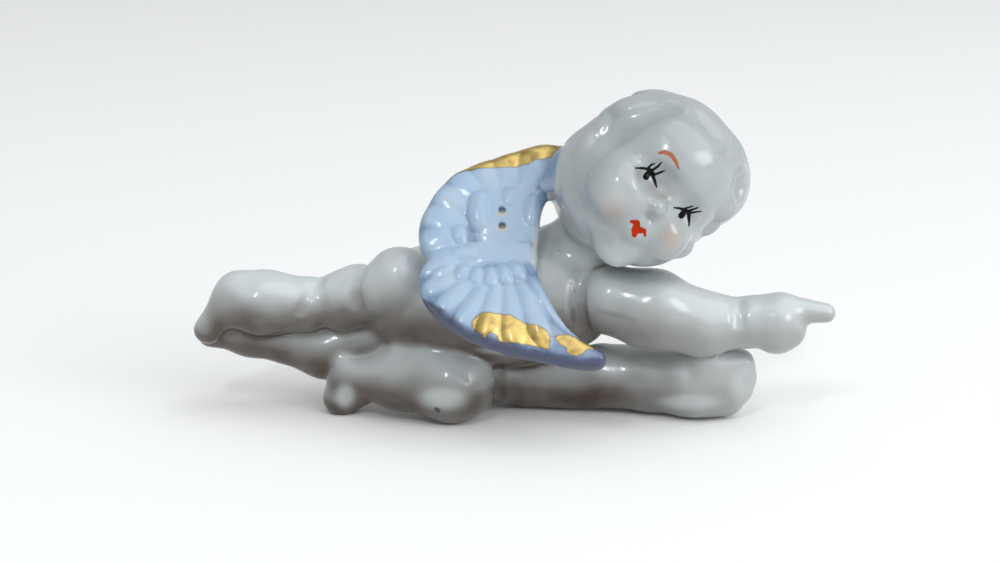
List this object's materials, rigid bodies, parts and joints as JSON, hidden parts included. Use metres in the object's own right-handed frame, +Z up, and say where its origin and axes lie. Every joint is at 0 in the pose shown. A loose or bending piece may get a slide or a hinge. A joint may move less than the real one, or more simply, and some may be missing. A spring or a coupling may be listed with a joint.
{
  "type": "porcelain angel figurine",
  "caption": "Glazed porcelain cherub lying on its front, head turned and one arm pointing ahead, with feathered wings on its back.",
  "frame": {"origin": "on the table, under the middle of the figure's bounding box", "axes": "+X from the toes to the pointing finger, +Z up, face looking towards -Y"},
  "size_m": [0.1202, 0.0414, 0.0626],
  "materials": {
    "porcelain": "gloss"
  },
  "bodies": {
    "root": {"angel_figurine": "porcelain"}
  },
  "joints": []
}
